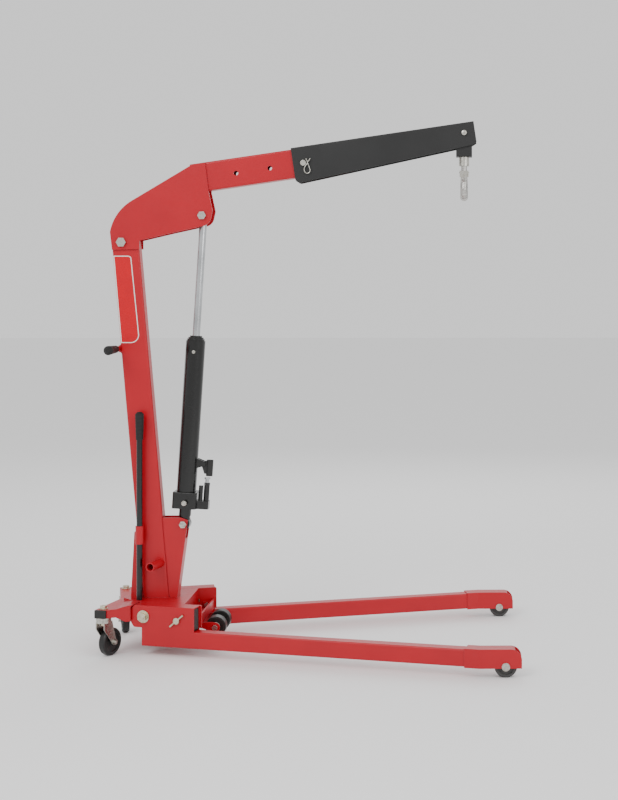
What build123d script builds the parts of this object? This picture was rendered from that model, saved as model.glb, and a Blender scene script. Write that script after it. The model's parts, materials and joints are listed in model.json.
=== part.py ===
from build123d import *
import math
import os

# Foldable workshop crane, in millimetres. +X points forward to the hook and the leg tips, +Z is up.
# The origin is on the floor, in the middle of the crane's length and width.

os.makedirs("parts", exist_ok=True)

SIDES = {"left": 1, "right": -1}

# Fits and clearances
RUNNING = 0.08
SIDE_GAP = 0.3

# Legs, which splay outwards and fold up about a pivot in the base
SPLAY = 14.6
PIVOT_X = -591.0
PIVOT_Y = 133.5
PIVOT_Z = 144.0
LEG_WIDTH = 50.0
LEG_BOTTOM = 36.0
LEG_TOP = 97.0
LEG_REAR = -6.0
LEG_LENGTH = 1246.0
LEG_CORNER = 6.0
LEG_WALL = 4.0
CAP_TOP = 184.0
CAP_BOTTOM = 104.0
CAP_FRONT = 200.0
CAP_SWING = 54.0
PIVOT_BOLT_R = 10.0
PIVOT_WASHER_R = 23.0
LOCK_ALONG = 134.0
LOCK_Z = 136.0
LOCK_PIN_R = 8.0
LOCK_HEAD = 11.0
LOCK_HEAD_R = 12.0
T_BAR = 68.0
T_BAR_R = 3.5

# Front brackets and wheels at the leg tips
TIP_Y = 452.0
TIP_X = 776.8
BRACKET_REAR = 1214.0
BRACKET_SHEET = 3.0
BRACKET_GAP = 0.2
BRACKET_BOTTOM = 34.0
BRACKET_CORNER = 38.0
FRONT_AXLE_X = 721.0
FRONT_AXLE_R = 8.0
AXLE_HEAD = 5.0
AXLE_HEAD_R = 14.5
FRONT_WHEEL_R = 40.0
FRONT_WHEEL_WIDTH = 36.0

# Base
PLATE = 6.0
BASE_REAR = -62.0
BASE_FRONT = 206.0
BASE_CORNER = 5.0
SIDE_PLATE_OUT = -(LEG_WIDTH / 2 + 1.0)
FRONT_WALL_X = -392.0
FRONT_WALL_TOP = 142.0
TOP_PLATE_FRONT = -450.0
TAB_ROOM = 24.0

# Rear arms and casters
ARM_X = -693.0
ARM_WIDTH = 44.0
ARM_BOTTOM = 146.0
ARM_TOP = 176.0
ARM_LENGTH = 200.0
ARM_WALL = 3.0
END_CAP = 7.0
WEB_START = 40.0
WEB_END = 196.0
WEB_FRONT = -36.0
WEB_BOTTOM = 126.0
STEM_ALONG = 178.0
STEM_R = 6.0
RACE_R = 27.0
RACE_HEIGHT = 8.0
FORK_BOTTOM = 127.0
FORK_OUT = 20.0
CASTER_AXLE_R = 6.0
CASTER_R = 50.0
CASTER_WIDTH = 28.0
CASTER_TRAIL = 35.0
CASTER_HEADING = {"left": 107.0, "right": 64.0}

# Transport rollers
ROLLER_X = -349.0
ROLLER_Z = 84.0
ROLLER_R = 38.0
ROLLER_INNER = 30.0
ROLLER_OUTER = 70.0
ROLLER_ARM_Y = 76.0
ROLLER_ARM = 5.0
ROLLER_AXLE_R = 8.0
TAB_ALONG = 168.0
TAB_WIDTH = 28.0
TAB_BOLT_Z = 118.0
TAB_BOLT_R = 5.0

# Mast
MAST_LEAN = 5.02
MAST_DEPTH = 100.0
MAST_WIDTH = 56.0
MAST_WALL = 4.0
MAST_CORNER = 8.0
MAST_FOOT_X = -577.8
MAST_HEAD_Z = 1550.0
GUSSET = 6.0
GUSSET_TOP = 431.0
BRACKET_TOP = 484.0
BRACKET_WEB = 404.0
BUSH_R = 17.0

# Push bar, pump handle in its sleeve, and the rests of the folded legs
PUSH_BAR_X = -722.5
PUSH_BAR_Z = 1118.0
PUSH_BAR_R = 11.0
GRIP_START = 60.0
GRIP_END = 176.0
GRIP_R = 17.0
HANDLE_X = -633.0
HANDLE_Y = -60.0
HANDLE_R = 11.0
HANDLE_BOTTOM = 184.6
HANDLE_GRIP_Z = 780.0
HANDLE_TOP = 884.0
SLEEVE_Z = 392.0
SLEEVE_HEIGHT = 67.0
SLEEVE_R = 15.0
REST_Z = 314.0
REST_R = 16.5

# Boom
BOOM_PIVOT_X = -706.0
BOOM_PIVOT_Z = 1517.5
BOOM_BOLT_R = 12.0
CHEEK_IN = 30.0
CHEEK = 6.0
WEB = 5.0
WEB_FLOOR = 1600.0
BOOM_ANGLE = 8.5
BOOM_X = -366.0
BOOM_Z = 1768.5
BOOM_HEIGHT = 108.0
BOOM_WIDTH = 60.0
BOOM_WALL = 4.0
BOOM_REAR = -80.0
BOOM_FRONT = 522.0
HOLE_FIRST = 87.0
HOLE_PITCH = 128.0
HOLE_DROP = -4.0
HOLE_R = 8.5
HOLES = 3

# Extension, hook block and hook
EXT_SHEET = 4.0
EXT_IN = 32.0
EXT_TOP = 59.0
EXT_REAR = 304.0
EXT_FRONT = 998.0
EXT_PIN = HOLE_FIRST + (HOLES - 1) * HOLE_PITCH
EXT_PIN_R = 8.0
EXT_HEAD = 12.0
EXT_HEAD_R = 11.0
CLIP_WIRE = 2.0
HOOK_BOLT_U = 956.5
HOOK_BOLT_V = 20.3
HOOK_BOLT_X = BOOM_X + HOOK_BOLT_U * math.cos(math.radians(BOOM_ANGLE)) - HOOK_BOLT_V * math.sin(
    math.radians(BOOM_ANGLE))
HOOK_BOLT_Z = BOOM_Z + HOOK_BOLT_U * math.sin(math.radians(BOOM_ANGLE)) + HOOK_BOLT_V * math.cos(
    math.radians(BOOM_ANGLE))
HOOK_BOLT_R = 9.0
BLOCK_WIDTH = 60.0
BLOCK_OUT = 28.0
BLOCK_SHEET = 6.0
BLOCK_BOTTOM = 1841.0
BLOCK_FLOOR = 9.0
SHANK_R = 11.0
COLLAR_R = 19.0
COLLAR_BOTTOM = 1807.0
NECK_Z = 1790.0
BOWL_Z = 1723.0
BOWL_R = 34.0
TIP_Z = 1744.0
HOOK_SECTIONS = ((0, 11.5, 11.4), (0.25, 14.0, 13.4), (0.5, 15.0, 14.9), (0.75, 14.0, 12.9), (1, 9.0, 7.9))
LATCH_Y = -2.0
LATCH_Z = 1782.0
LATCH_PIN_R = 2.5
LATCH_OUT = 17.0

# Ram, from its lower pin to its upper pin
RAM_X = -478.0
RAM_Z = 458.5
RAM_TOP_X = -405.5
RAM_TOP_Z = 1618.0
RAM_BOLT_R = 8.0
RAM_EYE_R = 23.0
RAM_EYE_WIDTH = 40.0
RAM_STUB_R = 10.0
NECK_D = 30.0
BLOCK_LOW = 60.0
BLOCK_HIGH = 122.0
BLOCK_SIDE = 42.0
BARREL_TOP = 158.0
BARREL_X = 76.0
PLUNGER_R = 7.0
PLUNGER_TOP = 178.0
CYLINDER_TOP = 690.0
CYLINDER_R = 36.0
BORE_R = 28.0
ROD_R = 14.0
PISTON_LOW = 505.0
PISTON = 30.0
ROD_EYE_R = 24.0
LEVER_X = 58.0
LEVER_D = 230.0
LEVER_LOW = 184.0
LEVER_HIGH = 244.0
LEVER_PIN_R = 5.0
EAR_IN = 8.0
EAR_OUT = 13.0
SOCKET_X = 82.0
SOCKET_R = 12.5
SOCKET_BORE = 11.3
VALVE_X = 4.0
VALVE_D = 84.0
VALVE_R = 10.0
VALVE_STEM_R = 5.0


def splay_cos():
    return math.cos(math.radians(SPLAY))


def splay_sin():
    return math.sin(math.radians(SPLAY))


def leg_point(side, along, out):
    """A point in plan, measured along a leg from its pivot and outwards from its middle."""
    x = PIVOT_X + along * splay_cos() - out * splay_sin()
    y = side * (PIVOT_Y + along * splay_sin() + out * splay_cos())
    return (x, y)


def leg_plane(side, out=0.0):
    """The upright plane along a leg: x runs forward from the pivot, y is the height above the floor."""
    x, y = leg_point(side, 0, out)
    forward = (splay_cos(), side * splay_sin(), 0)
    normal = (side * splay_sin(), -splay_cos(), 0)
    return Plane(origin=(x, y, 0), x_dir=forward, z_dir=normal)


def across_leg(side, along, out, height):
    """The plane that faces outwards from a leg, for bolts and pins that cross it."""
    x, y = leg_point(side, along, out)
    outward = (-splay_sin(), side * splay_cos(), 0)
    return Plane(origin=(x, y, height), x_dir=(0, 0, 1), z_dir=outward)


def arm_point(side, along, forward):
    """A point in plan on a rear arm, which stands square to its leg."""
    x = ARM_X - along * splay_sin() + forward * splay_cos()
    y = side * (along * splay_cos() + forward * splay_sin())
    return (x, y)


def mast_x(height, face):
    """X on the leaning mast at a height, for its rear (-1), middle (0) or front (1)."""
    lean = math.tan(math.radians(MAST_LEAN))
    half = MAST_DEPTH / 2 / math.cos(math.radians(MAST_LEAN))
    return MAST_FOOT_X - lean * (height - CAP_TOP) + face * half


def boom_plane(offset=0.0):
    """The upright plane along the boom: x runs along its middle line, y is square to it."""
    angle = math.radians(BOOM_ANGLE)
    return Plane(
        origin=(BOOM_X, -offset, BOOM_Z),
        x_dir=(math.cos(angle), 0, math.sin(angle)),
        z_dir=(0, -1, 0),
    )


def boom_section(along):
    """The plane square to the boom at a distance along it, with its y upwards."""
    angle = math.radians(BOOM_ANGLE)
    return Plane(
        origin=(BOOM_X + along * math.cos(angle), 0, BOOM_Z + along * math.sin(angle)),
        x_dir=(0, 1, 0),
        z_dir=(math.cos(angle), 0, math.sin(angle)),
    )


def boom_height(point):
    """How far a point lies above the boom's middle line."""
    angle = math.radians(BOOM_ANGLE)
    return (point.Z - BOOM_Z) * math.cos(angle) - (point.X - BOOM_X) * math.sin(angle)


def crosswise(x, y, z, side=1):
    """A plane that faces across the crane, for bolts and axles."""
    return Plane(origin=(x, y, z), x_dir=(1, 0, 0), z_dir=(0, side, 0))


def upwards(x, y, z):
    return Plane(origin=(x, y, z), x_dir=(1, 0, 0), z_dir=(0, 0, 1))


def ram_axis():
    length = math.hypot(RAM_TOP_X - RAM_X, RAM_TOP_Z - RAM_Z)
    return ((RAM_TOP_X - RAM_X) / length, (RAM_TOP_Z - RAM_Z) / length, length)


def ram_plane(distance=0.0):
    """A plane square to the ram, at a distance up from its lower pin, with x forwards."""
    rx, rz, _ = ram_axis()
    return Plane(
        origin=(RAM_X + rx * distance, 0, RAM_Z + rz * distance),
        x_dir=(rz, 0, -rx),
        z_dir=(rx, 0, rz),
    )


def ram_side_plane(y=0.0):
    """The upright plane through the ram: x points forwards from it, y runs up along it."""
    rx, rz, _ = ram_axis()
    return Plane(origin=(RAM_X, y, RAM_Z), x_dir=(rz, 0, -rx), z_dir=(0, -1, 0))


def keep(part, name):
    """Names a finished piece and writes it."""
    part.label = name
    export_step(part, f"parts/{name}.step")


def group(parts, name):
    """Writes several separate solids as one node."""
    keep(Compound(children=parts), name)


def rod(plane, radius, length, edge=0.8):
    """A round bar from a plane, with its far edge broken."""
    with BuildPart() as bar:
        with BuildSketch(plane):
            Circle(radius)
        extrude(amount=length)
        chamfer(bar.faces().sort_by(Axis(plane.origin, plane.z_dir))[-1].edges(), edge)
    return bar.part


def ring(plane, outer, inner, length):
    """A plain ring or washer from a plane."""
    with BuildPart() as washer:
        with BuildSketch(plane):
            Circle(outer)
            Circle(inner, mode=Mode.SUBTRACT)
        extrude(amount=length)
    return washer.part


def hex_prism(plane, flats, height, bore=0.0):
    """A hexagon of a given width across its flats, such as a nut where it has a bore."""
    with BuildPart() as prism:
        with BuildSketch(plane):
            RegularPolygon(flats / math.sqrt(3), 6)
            if bore:
                Circle(bore, mode=Mode.SUBTRACT)
        extrude(amount=height)
    return prism.part


def bolt(plane, radius, grip, flats, head, tail):
    """A hex bolt: its head stands behind the plane, and its shank runs forward through the grip."""
    with BuildPart() as screw:
        with BuildSketch(plane):
            RegularPolygon(flats / math.sqrt(3), 6)
        extrude(amount=-head)
        with BuildSketch(plane):
            Circle(radius)
        extrude(amount=grip + tail)
        chamfer(screw.faces().sort_by(Axis(plane.origin, plane.z_dir))[-1].edges(), 1.0)
    return screw.part


def bolt_and_nut(plane, radius, grip, flats, head, nut):
    """A hex bolt with the nut that closes on the far side of its grip."""
    screw = bolt(plane, radius, grip, flats, head, nut + 3.0)
    return [screw, hex_prism(plane.offset(grip), flats, nut, radius)]


# ---------------------------------------------------------------- base

def inner_face_y(x):
    """Half the width between the side plates of the base, at a place along it."""
    out = SIDE_PLATE_OUT - PLATE
    return PIVOT_Y + (x - PIVOT_X) * splay_sin() / splay_cos() + out / splay_cos()


def make_side_plate(side):
    """The upright plate of the base that a leg is bolted beside."""
    with BuildPart() as plate:
        with BuildSketch(leg_plane(side, SIDE_PLATE_OUT - PLATE / 2)):
            with BuildLine():
                Polyline((BASE_FRONT, CAP_TOP - BASE_CORNER), (BASE_FRONT, CAP_BOTTOM), (BASE_REAR, CAP_BOTTOM),
                         (BASE_REAR, CAP_TOP), (BASE_FRONT - BASE_CORNER, CAP_TOP))
                RadiusArc((BASE_FRONT - BASE_CORNER, CAP_TOP), (BASE_FRONT, CAP_TOP - BASE_CORNER), BASE_CORNER)
            make_face()
            with Locations((0, PIVOT_Z)):
                Circle(PIVOT_BOLT_R, mode=Mode.SUBTRACT)
            with Locations((LOCK_ALONG, LOCK_Z)):
                Circle(LOCK_PIN_R + 0.5, mode=Mode.SUBTRACT)
            with Locations((TAB_ALONG, TAB_BOLT_Z)):
                Circle(TAB_BOLT_R, mode=Mode.SUBTRACT)
        extrude(amount=PLATE / 2, both=True)
    return plate.part


def make_base_top():
    """The top plate between the side plates, its tongue over the rear arms, and the step down to the front wall."""
    rear = leg_point(1, BASE_REAR, SIDE_PLATE_OUT - PLATE)
    front = (TOP_PLATE_FRONT, inner_face_y(TOP_PLATE_FRONT))
    tongue = arm_point(1, WEB_START, ARM_WIDTH / 2)
    with BuildPart() as top:
        with BuildSketch(Plane.XY.offset(CAP_TOP - PLATE)):
            with BuildLine():
                Polyline(rear, front, (front[0], -front[1]), (rear[0], -rear[1]), close=True)
            make_face()
        extrude(amount=PLATE)
        with BuildSketch(Plane.XY.offset(ARM_TOP)):
            with BuildLine():
                Polyline(rear, tongue, (ARM_X - 7, tongue[1] / 2), (ARM_X - 7, -tongue[1] / 2),
                         (tongue[0], -tongue[1]), (rear[0], -rear[1]), close=True)
            make_face()
        extrude(amount=CAP_TOP - ARM_TOP)
        for start, end, height, room in (
            (rear[0], rear[0] + PLATE, CAP_TOP - PLATE, 0),
            (TOP_PLATE_FRONT - PLATE, TOP_PLATE_FRONT, CAP_TOP - PLATE, 0),
            (TOP_PLATE_FRONT - PLATE, FRONT_WALL_X, CAP_BOTTOM + PLATE, TAB_ROOM),
            (FRONT_WALL_X - PLATE, FRONT_WALL_X, FRONT_WALL_TOP, 0),
        ):
            with BuildSketch(Plane.XY.offset(CAP_BOTTOM)):
                with BuildLine():
                    Polyline((start, inner_face_y(start) - room), (end, inner_face_y(end) - room),
                             (end, room - inner_face_y(end)), (start, room - inner_face_y(start)), close=True)
                make_face()
            extrude(amount=height - CAP_BOTTOM)
    return top.part


def make_rear_arms():
    """The V of two box tubes behind the base, square to the legs, with the caster stem holes."""
    with BuildPart() as arms:
        for width, bottom, top, mode in (
            (ARM_WIDTH, ARM_BOTTOM, ARM_TOP, Mode.ADD),
            (ARM_WIDTH - 2 * ARM_WALL, ARM_BOTTOM + ARM_WALL, ARM_TOP - ARM_WALL, Mode.SUBTRACT),
        ):
            middle = width / 2 / splay_cos()
            with BuildSketch(Plane.XY.offset(bottom)):
                with BuildLine():
                    Polyline((ARM_X + middle, 0), arm_point(1, ARM_LENGTH, width / 2),
                             arm_point(1, ARM_LENGTH, -width / 2), (ARM_X - middle, 0),
                             arm_point(-1, ARM_LENGTH, -width / 2), arm_point(-1, ARM_LENGTH, width / 2),
                             close=True)
                make_face()
            extrude(amount=top - bottom, mode=mode)
        with Locations(*[(*arm_point(side, STEM_ALONG, 0), ARM_TOP) for side in SIDES.values()]):
            Hole(STEM_R)
    return arms.part


def make_arm_web(side):
    """The tapered box that joins a rear arm to the base, hollowed where the leg's end swings."""
    inner = SIDE_PLATE_OUT
    with BuildPart() as web:
        with BuildSketch(Plane.XY.offset(WEB_BOTTOM)):
            with BuildLine():
                Polyline(arm_point(side, WEB_START, ARM_WIDTH / 2), arm_point(side, WEB_END, ARM_WIDTH / 2),
                         leg_point(side, WEB_FRONT, LEG_WIDTH / 2), leg_point(side, WEB_FRONT, inner),
                         leg_point(side, BASE_REAR, inner), leg_point(side, BASE_REAR, inner - PLATE), close=True)
            make_face()
        extrude(amount=CAP_TOP - WEB_BOTTOM)
        with BuildSketch(Plane.XZ):
            with BuildLine():
                Polyline((-740, ARM_BOTTOM), (-693, ARM_BOTTOM), (-661, WEB_BOTTOM), (-600, WEB_BOTTOM),
                         (-600, CAP_TOP), (-655, CAP_TOP), (-690, ARM_TOP), (-740, ARM_TOP), close=True)
            make_face()
        extrude(amount=2 * PIVOT_Y, both=True, mode=Mode.INTERSECT)
        with BuildSketch(across_leg(side, 0, inner, PIVOT_Z)):
            Circle(CAP_SWING + 3.5)
        extrude(amount=LEG_WIDTH + 10, mode=Mode.SUBTRACT)
    return web.part


def make_end_cap(side):
    """The black plug that closes a rear arm."""
    start = (*arm_point(side, ARM_LENGTH, 0), (ARM_BOTTOM + ARM_TOP) / 2)
    face = Plane(origin=start, x_dir=(0, 0, 1), z_dir=(-splay_sin(), side * splay_cos(), 0))
    height = ARM_TOP - ARM_BOTTOM
    with BuildPart() as cap:
        with BuildSketch(face):
            RectangleRounded(height, ARM_WIDTH + 1.0, 3.0)
        extrude(amount=END_CAP)
        chamfer(cap.faces().sort_by(Axis(face.origin, face.z_dir))[-1].edges(), 1.5)
        with BuildSketch(face):
            Rectangle(height - 2 * ARM_WALL, ARM_WIDTH - 2 * ARM_WALL)
        extrude(amount=-10)
    return cap.part


def make_pivot_bolt(side):
    """The bolt that a leg turns on, from inside the side plate to the big washer outside the leg."""
    plate = SIDE_PLATE_OUT - PLATE
    washer = LEG_WIDTH / 2 + SIDE_GAP
    start = across_leg(side, 0, plate, PIVOT_Z)
    screw = bolt_and_nut(start, PIVOT_BOLT_R, washer + 3 - plate, 30, 10, 13)
    return [*screw, ring(start.offset(washer - plate), PIVOT_WASHER_R, PIVOT_BOLT_R, 3)]


def make_base():
    for name, side in SIDES.items():
        keep(make_side_plate(side), f"base_side_plate_{name}")
    keep(make_base_top(), "base_top_plate")
    keep(make_rear_arms(), "rear_arms")
    group([make_arm_web(side) for side in SIDES.values()], "arm_webs")
    group([make_end_cap(side) for side in SIDES.values()], "arm_end_caps")
    group([piece for side in SIDES.values() for piece in make_pivot_bolt(side)], "leg_pivot_bolts")


# ---------------------------------------------------------------- mast

def make_mast():
    """The leaning box tube that carries the boom, closed at its top."""
    lean = math.radians(MAST_LEAN)
    start = CAP_TOP - 20
    foot = Plane(
        origin=(mast_x(start, 0), 0, start),
        x_dir=(math.cos(lean), 0, math.sin(lean)),
        z_dir=(-math.sin(lean), 0, math.cos(lean)),
    )
    length = (MAST_HEAD_Z - start) / math.cos(lean)
    with BuildPart() as mast:
        with BuildSketch(foot):
            RectangleRounded(MAST_DEPTH, MAST_WIDTH, MAST_CORNER)
        extrude(amount=length)
        with BuildSketch(foot):
            RectangleRounded(MAST_DEPTH - 2 * MAST_WALL, MAST_WIDTH - 2 * MAST_WALL, MAST_CORNER - MAST_WALL)
        extrude(amount=length - MAST_WALL, mode=Mode.SUBTRACT)
        split(bisect_by=Plane.XY.offset(CAP_TOP), keep=Keep.TOP)
        with BuildSketch(Plane.XZ):
            with Locations((BOOM_PIVOT_X, BOOM_PIVOT_Z)):
                Circle(BUSH_R)
        extrude(amount=MAST_WIDTH, both=True, mode=Mode.SUBTRACT)
    return mast.part


def make_mast_bush():
    """The steel tube across the mast's head that the boom bolt turns in."""
    reach = CHEEK_IN - SIDE_GAP
    return ring(crosswise(BOOM_PIVOT_X, -reach, BOOM_PIVOT_Z), BUSH_R, BOOM_BOLT_R + RUNNING, 2 * reach)


def upright_channel(outline, void):
    """Two side plates in line with the mast's sides, joined by the wall that a void leaves."""
    with BuildPart() as channel:
        with BuildSketch(Plane.XZ):
            with BuildLine():
                Polyline(*outline, close=True)
            make_face()
        extrude(amount=MAST_WIDTH / 2, both=True)
        with BuildSketch(Plane.XZ):
            with BuildLine():
                Polyline(*void, close=True)
            make_face()
        extrude(amount=MAST_WIDTH / 2 - GUSSET, both=True, mode=Mode.SUBTRACT)
    return channel.part


def make_ram_bracket():
    """The bracket in front of the mast's foot that holds the ram's lower pin."""
    channel = upright_channel(
        [(mast_x(CAP_TOP, 1), CAP_TOP), (mast_x(BRACKET_TOP, 1), BRACKET_TOP), (-485, BRACKET_TOP), (-460, 474),
         (-499.5, CAP_TOP)],
        [(mast_x(CAP_TOP, 1) - 9, CAP_TOP - 1), (mast_x(BRACKET_TOP, 1) - 9, BRACKET_TOP + 1),
         (-440, BRACKET_TOP + 1), (-440, BRACKET_WEB), (-474.6, BRACKET_WEB), (-505.5, CAP_TOP - 1)],
    )
    with BuildPart() as bracket:
        add(channel)
        with BuildSketch(Plane.XZ):
            with Locations((RAM_X, RAM_Z)):
                Circle(RAM_BOLT_R)
        extrude(amount=MAST_WIDTH, both=True, mode=Mode.SUBTRACT)
    return bracket.part


def make_rear_gusset():
    """The thin stiffener behind the mast's foot."""
    return upright_channel(
        [(mast_x(CAP_TOP, -1), CAP_TOP), (-672.5, CAP_TOP), (-659.5, GUSSET_TOP), (mast_x(GUSSET_TOP, -1), GUSSET_TOP)],
        [(mast_x(CAP_TOP, -1) + 9, CAP_TOP - 1), (-666.5, CAP_TOP - 1), (-655, GUSSET_TOP - 70),
         (mast_x(GUSSET_TOP, -1) + 9, GUSSET_TOP - 70)],
    )


def make_push_bar():
    """The bar across the back of the mast, with the saddle that it is welded to."""
    low, high = PUSH_BAR_Z - 16, PUSH_BAR_Z + 16
    with BuildPart() as bar:
        with BuildSketch(Plane.XZ):
            with BuildLine():
                Polyline((mast_x(low, -1), low), (mast_x(high, -1), high), (PUSH_BAR_X, PUSH_BAR_Z + 10),
                         (PUSH_BAR_X, PUSH_BAR_Z - 10), close=True)
            make_face()
        extrude(amount=MAST_WIDTH / 2 - MAST_CORNER, both=True)
        with BuildSketch(Plane.XZ):
            with Locations((PUSH_BAR_X, PUSH_BAR_Z)):
                Circle(PUSH_BAR_R)
        extrude(amount=GRIP_END - 6, both=True)
        with BuildSketch(Plane.XZ):
            with BuildLine():
                Polyline((mast_x(1000, -1), 1000), (mast_x(1240, -1), 1240), (-600, 1240), (-600, 1000), close=True)
            make_face()
        extrude(amount=GRIP_START, both=True, mode=Mode.SUBTRACT)
    return bar.part


def make_push_grip(side):
    """A soft black grip, fatter towards its closed end."""
    start = crosswise(PUSH_BAR_X, side * GRIP_START, PUSH_BAR_Z, side)
    length = GRIP_END - GRIP_START
    lengthwise = Plane(origin=start.origin, x_dir=start.z_dir, z_dir=(1, 0, 0))
    with BuildPart() as grip:
        with BuildSketch(lengthwise):
            with BuildLine():
                Polyline((length - 8, GRIP_R), (length, GRIP_R - 9), (length, 0), (0, 0), (0, GRIP_R - 3))
                Spline((0, GRIP_R - 3), (length / 2, GRIP_R - 1.5), (length - 8, GRIP_R))
            make_face()
        revolve(axis=Axis(start.origin, start.z_dir))
        with BuildSketch(start):
            Circle(PUSH_BAR_R)
        extrude(amount=length - 6, mode=Mode.SUBTRACT)
    return grip.part


def make_sleeve():
    """The short tube on the mast's side that the pump handle is stored in."""
    gap = -HANDLE_Y - MAST_WIDTH / 2
    with BuildPart() as sleeve:
        with BuildSketch(upwards(HANDLE_X, HANDLE_Y, SLEEVE_Z)):
            Circle(SLEEVE_R)
            with Locations((0, gap / 2)):
                Rectangle(12, gap)
            Circle(HANDLE_R + 0.5, mode=Mode.SUBTRACT)
        extrude(amount=SLEEVE_HEIGHT)
    return sleeve.part


def make_leg_rest(side):
    """The stub tube beside the mast that a folded leg stands against."""
    end = leg_point(side, 0, -LEG_WIDTH / 2 - 2)
    face = Plane(origin=(*end, REST_Z), x_dir=(0, 0, 1), z_dir=(splay_sin(), -side * splay_cos(), 0))
    with BuildPart() as rest:
        with BuildSketch(face):
            Circle(REST_R)
        extrude(amount=PIVOT_Y - 20)
        with BuildSketch(face):
            Circle(REST_R - 3.5)
        extrude(amount=PIVOT_Y / 2, mode=Mode.SUBTRACT)
        with BuildSketch(Plane.XZ):
            with Locations((MAST_FOOT_X, REST_Z)):
                Rectangle(MAST_DEPTH * 2, MAST_DEPTH)
        extrude(amount=MAST_WIDTH / 2, both=True, mode=Mode.SUBTRACT)
    return rest.part


def make_handle():
    """The removable pump handle, standing in its sleeve, with a soft grip."""
    length = HANDLE_TOP - HANDLE_GRIP_Z
    keep(rod(upwards(HANDLE_X, HANDLE_Y, HANDLE_BOTTOM), HANDLE_R, HANDLE_TOP - 6 - HANDLE_BOTTOM), "pump_handle_rod")
    start = upwards(HANDLE_X, HANDLE_Y, HANDLE_GRIP_Z)
    with BuildPart() as grip:
        with BuildSketch(Plane(origin=start.origin, x_dir=(1, 0, 0), z_dir=(0, -1, 0))):
            with BuildLine():
                Polyline((0, length), (0, 0), (GRIP_R - 4, 0))
                Spline((GRIP_R - 4, 0), (GRIP_R - 2, length / 2), (GRIP_R - 1, length - 8))
                Polyline((GRIP_R - 1, length - 8), (GRIP_R - 9, length), (0, length))
            make_face()
        revolve(axis=Axis(start.origin, start.z_dir))
        with BuildSketch(start):
            Circle(HANDLE_R)
        extrude(amount=length - 6, mode=Mode.SUBTRACT)
    keep(grip.part, "pump_handle_grip")


def make_upright():
    keep(make_mast(), "mast_tube")
    keep(make_mast_bush(), "mast_pivot_bush")
    keep(make_ram_bracket(), "ram_bracket")
    keep(make_rear_gusset(), "mast_rear_gusset")
    keep(make_push_bar(), "push_bar")
    group([make_push_grip(side) for side in SIDES.values()], "push_bar_grips")
    keep(make_sleeve(), "handle_sleeve")
    group([make_leg_rest(side) for side in SIDES.values()], "leg_rests")
    start = crosswise(RAM_X, -MAST_WIDTH / 2, RAM_Z)
    group(bolt_and_nut(start, RAM_BOLT_R, MAST_WIDTH, 24, 9, 11), "ram_lower_bolt")
    make_handle()


# ---------------------------------------------------------------- wheels

def wheel(plane, radius, width, hub_width, hub, rim, bore, corner):
    """A dished wheel whose axle lies along the plane's x, through its origin."""
    dish = width / 8
    with BuildPart() as roller:
        with BuildSketch(plane):
            with Locations((0, (radius + bore) / 2)):
                Rectangle(width, radius - bore)
            with Locations((0, (hub + bore) / 2)):
                Rectangle(hub_width, hub - bore)
            with Locations(((width - dish) / 2, (hub + rim) / 2), ((dish - width) / 2, (hub + rim) / 2)):
                Rectangle(dish, rim - hub, mode=Mode.SUBTRACT)
        revolve(axis=Axis(plane.origin, plane.x_dir))
        tread = roller.edges().filter_by(GeomType.CIRCLE).filter_by(lambda edge: edge.radius > radius - 0.1)
        fillet(tread, corner)
    return roller.part


def make_casters():
    """The swivelling casters under the rear arms."""
    screws = []
    races = []
    for name, side in SIDES.items():
        x, y = arm_point(side, STEM_ALONG, 0)
        angle = math.radians(CASTER_HEADING[name])
        ahead = (math.cos(angle), math.sin(angle), 0)
        across = (math.sin(angle), -math.cos(angle), 0)
        upright = Plane(origin=(x, y, 0), x_dir=ahead, z_dir=across)
        down = Plane(origin=(x, y, ARM_TOP + 3), x_dir=(1, 0, 0), z_dir=(0, 0, -1))
        grip = ARM_TOP + 3 + SIDE_GAP - FORK_BOTTOM
        screws += [*bolt_and_nut(down, STEM_R, grip, 22, 9, 10), ring(upwards(x, y, ARM_TOP), 16, STEM_R, 3)]
        races.append(ring(upwards(x, y, ARM_BOTTOM - RACE_HEIGHT), RACE_R, STEM_R, RACE_HEIGHT))
        with BuildPart() as fork:
            with BuildSketch(upwards(x, y, FORK_BOTTOM)):
                Circle(RACE_R)
            extrude(amount=ARM_BOTTOM - RACE_HEIGHT - SIDE_GAP - FORK_BOTTOM)
            with BuildSketch(upright):
                with BuildLine():
                    Polyline((24.6, 46.5), (-20, 104), (-20, FORK_BOTTOM + 3), (24, FORK_BOTTOM + 3), (45.8, 52))
                    ThreePointArc((45.8, 52), (CASTER_TRAIL, CASTER_R - 11), (24.6, 46.5))
                make_face()
            extrude(amount=FORK_OUT, both=True)
            with BuildSketch(upright):
                with Locations((0, FORK_BOTTOM / 2)):
                    Rectangle(4 * CASTER_TRAIL, FORK_BOTTOM)
            extrude(amount=FORK_OUT - 3, both=True, mode=Mode.SUBTRACT)
            with BuildSketch(upright):
                with Locations((CASTER_TRAIL, CASTER_R)):
                    Circle(CASTER_AXLE_R)
            extrude(amount=FORK_OUT, both=True, mode=Mode.SUBTRACT)
            with BuildSketch(upwards(x, y, 0)):
                Circle(STEM_R + RUNNING)
            extrude(amount=ARM_TOP, mode=Mode.SUBTRACT)
        hub = (x + CASTER_TRAIL * ahead[0], y + CASTER_TRAIL * ahead[1], CASTER_R)
        start = Plane(origin=hub, x_dir=ahead, z_dir=across).offset(-FORK_OUT)
        group([fork.part, *bolt_and_nut(start, CASTER_AXLE_R, 2 * FORK_OUT, 17, 7, 8)], f"caster_fork_{name}")
        rim = Plane(origin=hub, x_dir=across, z_dir=ahead)
        tyre = wheel(rim, CASTER_R, CASTER_WIDTH, 2 * FORK_OUT - 6.6, 16, 36, CASTER_AXLE_R + RUNNING, 7)
        keep(tyre, f"caster_wheel_{name}")
    group(screws, "caster_stem_bolts")
    group(races, "caster_top_races")


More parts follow.
